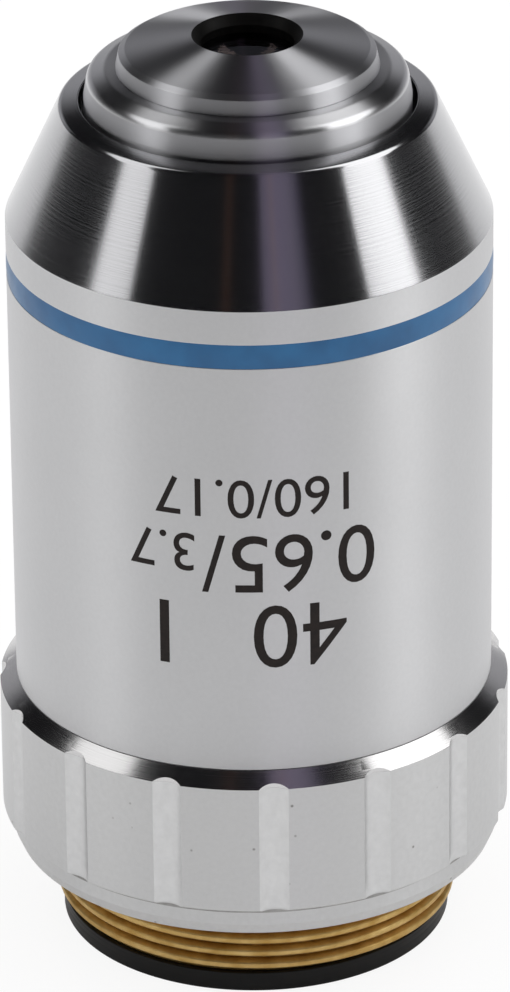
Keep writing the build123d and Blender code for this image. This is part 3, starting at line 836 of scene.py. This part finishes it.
# The room that the metal mirrors: dark, with a brown line and a purple-grey patch. Its colours go by the
# bearing in degrees from a point behind the object, since turned rings gather reflections round such a one.
ROOM_START, ROOM_STOP = -10.0, 20.0
room_middle = 0.9
dark, brown, orange = (0.008, 0.008, 0.009), (0.045, 0.024, 0.018), (0.30, 0.21, 0.19)
room_colours = (
    (-7.0, dark), (-6.2, brown), (-5.2, brown), (-4.4, dark), (2.4, dark), (3.8, (0.17, 0.15, 0.21)),
    (5.9, (0.19, 0.16, 0.23)), (6.3, orange), (6.8, (0.20, 0.17, 0.25)), (11.5, (0.18, 0.16, 0.22)),
    (13.5, (0.10, 0.09, 0.13)), (15.5, dark),
)
wall_start, wall_end, wall_top, wall_foot = 126, 146, 0.42, 0.30
wall_grey, daylight = (0.42, 0.42, 0.44, 1), (0.85, 0.85, 0.86, 1)

world = bpy.data.worlds.new("studio")
bpy.context.scene.world = world
world.use_nodes = True
tree = world.node_tree
tree.nodes.clear()
direction = node(tree, "ShaderNodeTexCoord").outputs["Generated"]
x, y, z = node(tree, "ShaderNodeSeparateXYZ", {0: direction}).outputs
toward = node(tree, "ShaderNodeMath", {0: y, 1: -1.0}, operation="MULTIPLY")
bearing = node(tree, "ShaderNodeMath", {0: x, 1: toward}, operation="ARCTAN2")
shifted = node(tree, "ShaderNodeMath", {0: toward, 1: room_middle}, operation="ADD")
overhead = node(tree, "ShaderNodeMath", {0: x, 1: shifted}, operation="ARCTAN2")
across = node(tree, "ShaderNodeMapRange", {
    "Value": overhead, "From Min": math.radians(ROOM_START), "From Max": math.radians(ROOM_STOP)})
ramp = node(tree, "ShaderNodeValToRGB", {"Fac": across})
for angle, colour in room_colours:
    stop = ramp.color_ramp.elements.new((angle - ROOM_START) / (ROOM_STOP - ROOM_START))
    stop.color = (*colour, 1)
for end in (ramp.color_ramp.elements[0], ramp.color_ramp.elements[-1]):
    end.color = (*dark, 1)

# A paler wall stands low behind the object. Matt surfaces get even daylight from all round, and the camera
# sees pure white.
behind = node(tree, "ShaderNodeMapRange", {
    "Value": node(tree, "ShaderNodeMath", {0: bearing}, operation="ABSOLUTE"),
    "From Min": math.radians(wall_start), "From Max": math.radians(wall_end)})
under = node(tree, "ShaderNodeMapRange", {"Value": z, "From Min": wall_top, "From Max": wall_foot})
wall = node(tree, "ShaderNodeMath", {0: behind, 1: under}, operation="MULTIPLY")
room = node(tree, "ShaderNodeMix", {"Factor": wall, 6: ramp, 7: wall_grey}, data_type="RGBA")
to_camera, mirrored = ray_kinds(tree)
lit = node(tree, "ShaderNodeMix", {"Factor": mirrored, 6: daylight, 7: room.outputs[2]}, data_type="RGBA")
sky = node(tree, "ShaderNodeMix", {"Factor": to_camera, 6: lit.outputs[2], 7: pure_white}, data_type="RGBA")
glow = node(tree, "ShaderNodeBackground", {"Color": sky.outputs[2], "Strength": 1.0})
node(tree, "ShaderNodeOutputWorld", {"Surface": glow})
world.cycles.sampling_method = "NONE"

# The camera stands where the photograph's stood; the object's turned steps give its place, roll and lens.
camera_place, camera_roll, focal_length = Vector((0.145, -332.3, 181.1)) * MM, -0.588, 268.3
bpy.context.scene.view_settings.view_transform = "Standard"
camera_data = bpy.data.cameras.new("camera")
camera_data.lens = focal_length
camera_data.sensor_width = 36.0
camera_data.clip_start, camera_data.clip_end = 0.01, 20.0
camera = bpy.data.objects.new("camera", camera_data)
bpy.context.scene.collection.objects.link(camera)
aim = (look_at - camera_place).to_track_quat("-Z", "Y").to_matrix().to_4x4()
roll = Matrix.Rotation(math.radians(camera_roll), 4, "Z")
camera.matrix_world = Matrix.Translation(camera_place) @ aim @ roll
bpy.context.scene.camera = camera
